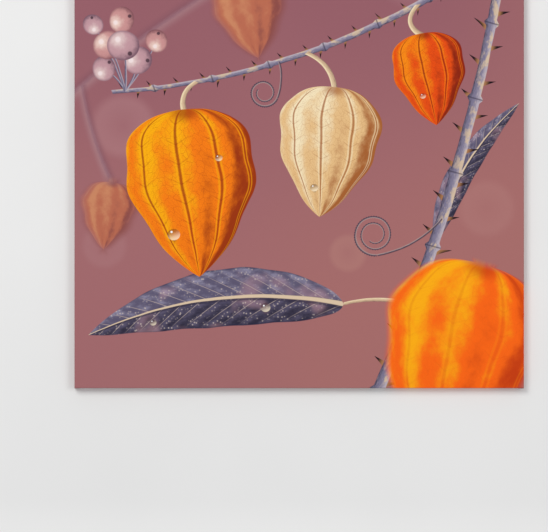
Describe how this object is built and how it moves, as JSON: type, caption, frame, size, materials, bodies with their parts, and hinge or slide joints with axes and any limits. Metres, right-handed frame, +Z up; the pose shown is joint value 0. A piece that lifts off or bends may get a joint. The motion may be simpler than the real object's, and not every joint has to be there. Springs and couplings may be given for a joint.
{
  "type": "frameless canvas wall picture",
  "caption": "Frameless square wall picture: printed canvas stretched round a mitred, wedged and cross-braced pine frame, with saw-tooth hangers and rubber bumpers behind, to hang on a wall.",
  "frame": {"origin": "on the wall plane, midway between the two saw-tooth hangers, level with the roots of their teeth, where the wall's two hooks bear", "axes": "+Z up, the printed front faces -Y, +Y into the wall, +X to the right of a person who looks at the front"},
  "size_m": [1.2, 0.0249, 1.2],
  "materials": {
    "printed_canvas": "matte print on woven cotton canvas, bare cotton behind",
    "pine": "planed bare softwood",
    "beech": "sawn bare hardwood",
    "zinc": "zinc-plated steel",
    "rubber": "matt black rubber"
  },
  "bodies": {
    "root": {"canvas": "printed_canvas", "bar_top": "pine", "bar_right": "pine", "bar_bottom": "pine", "bar_left": "pine", "brace_upright": "pine", "brace_cross": "pine", "wedge_top_left_a": "beech", "wedge_top_left_b": "beech", "wedge_top_right_a": "beech", "wedge_top_right_b": "beech", "wedge_bottom_left_a": "beech", "wedge_bottom_left_b": "beech", "wedge_bottom_right_a": "beech", "wedge_bottom_right_b": "beech", "hanger_left": "zinc", "hanger_right": "zinc", "nail_left_inner": "zinc", "nail_left_outer": "zinc", "nail_right_inner": "zinc", "nail_right_outer": "zinc", "bumper_top_left": "rubber", "bumper_top_right": "rubber", "bumper_bottom_left": "rubber", "bumper_bottom_right": "rubber"}
  },
  "joints": []
}
